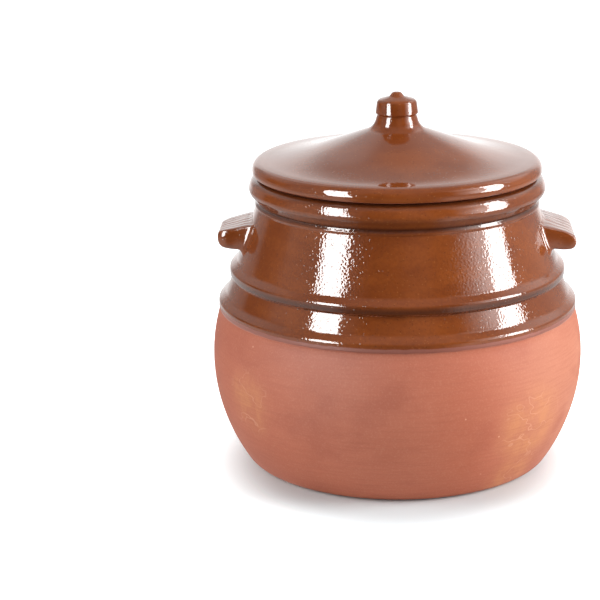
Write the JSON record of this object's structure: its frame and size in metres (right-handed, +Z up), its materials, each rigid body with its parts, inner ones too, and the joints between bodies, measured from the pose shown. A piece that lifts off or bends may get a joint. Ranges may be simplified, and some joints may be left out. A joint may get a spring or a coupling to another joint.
{
  "type": "lidded earthenware cooking pot",
  "caption": "Round-bellied earthenware cooking pot, glazed on its upper half and inside, with a collared neck, small lug ears and a loose domed lid that lifts off by its knob.",
  "frame": {"origin": "centre of the flat base, on the surface that the pot stands on", "axes": "+Z up along the pot's turning axis, +X through the ear on the picture's right, and the picture looks along +Y"},
  "size_m": [0.27, 0.27, 0.2699],
  "materials": {
    "bare_clay": "matt fired red clay with blotches and fine throwing lines",
    "brown_glaze": "glossy transparent honey-brown glaze over red clay, with orange peel and pinholes",
    "glazed_ear": "red clay under the same glossy honey-brown glaze"
  },
  "bodies": {
    "pot": {"pot_wall": "bare_clay", "inner_glaze": "brown_glaze", "outer_glaze": "brown_glaze", "ear_handle_left": "glazed_ear", "ear_handle_right": "glazed_ear"},
    "lid": {"lid_plate": "bare_clay", "lid_knob": "bare_clay", "lid_glaze": "brown_glaze"}
  },
  "joints": [
    {"name": "lid_lift", "type": "slide", "parent": "pot", "child": "lid", "axis": [0, 0, 1], "range_m": [0, 0.25]}
  ]
}
